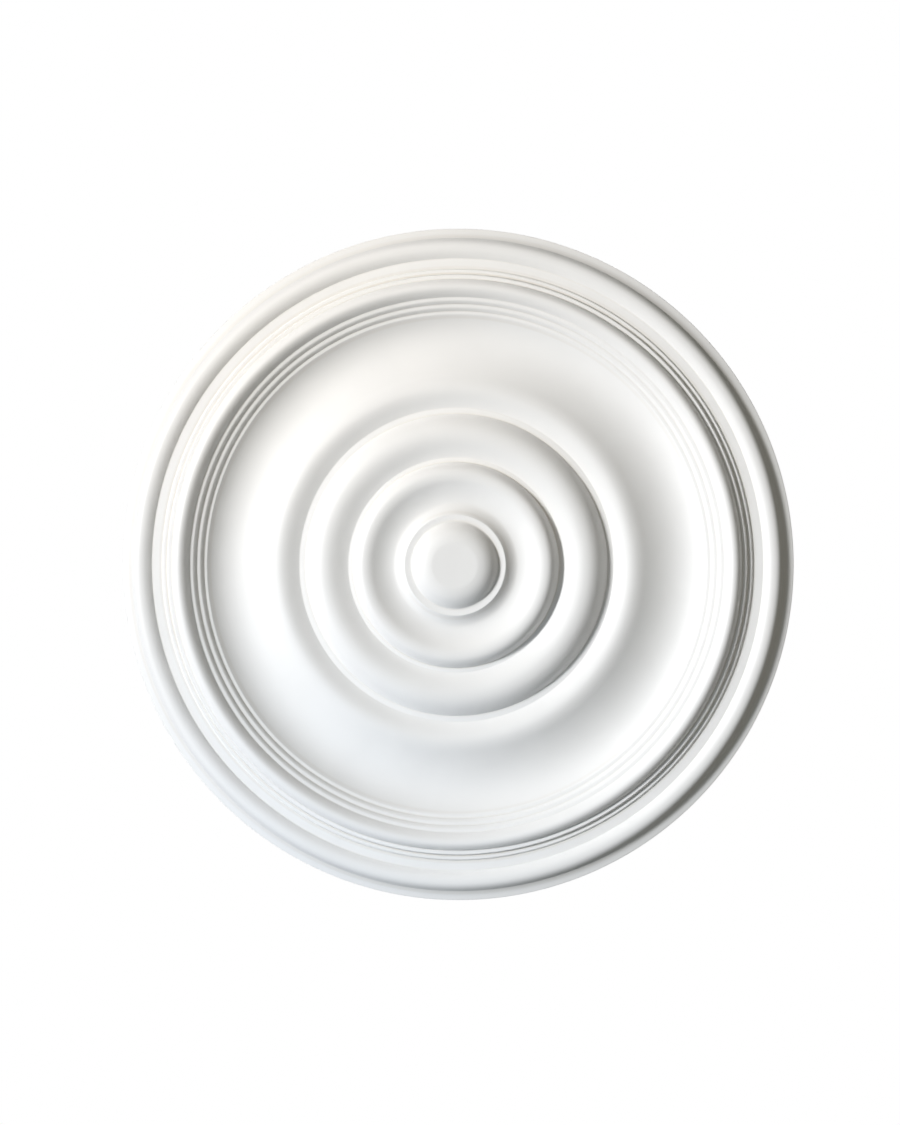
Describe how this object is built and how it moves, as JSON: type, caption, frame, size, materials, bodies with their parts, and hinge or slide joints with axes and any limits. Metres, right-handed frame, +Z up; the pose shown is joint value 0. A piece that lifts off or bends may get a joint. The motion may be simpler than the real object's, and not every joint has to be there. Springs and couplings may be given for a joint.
{
  "type": "ceiling rose",
  "caption": "Round moulded plaster ceiling rose: a flat-faced boss, wave mouldings round it, a wide dish, a reeded outer roll and a beaded edge; flat back for the ceiling.",
  "frame": {"origin": "centre of the flat back, on the plane of the ceiling", "axes": "+Z up along the rose's axis, out of the flat back and into the ceiling; the moulded face looks down, towards -Z"},
  "size_m": [0.6, 0.6, 0.0475],
  "materials": {
    "plaster": "smooth matt white cast plaster"
  },
  "bodies": {
    "root": {"ceiling_rose": "plaster"}
  },
  "joints": []
}
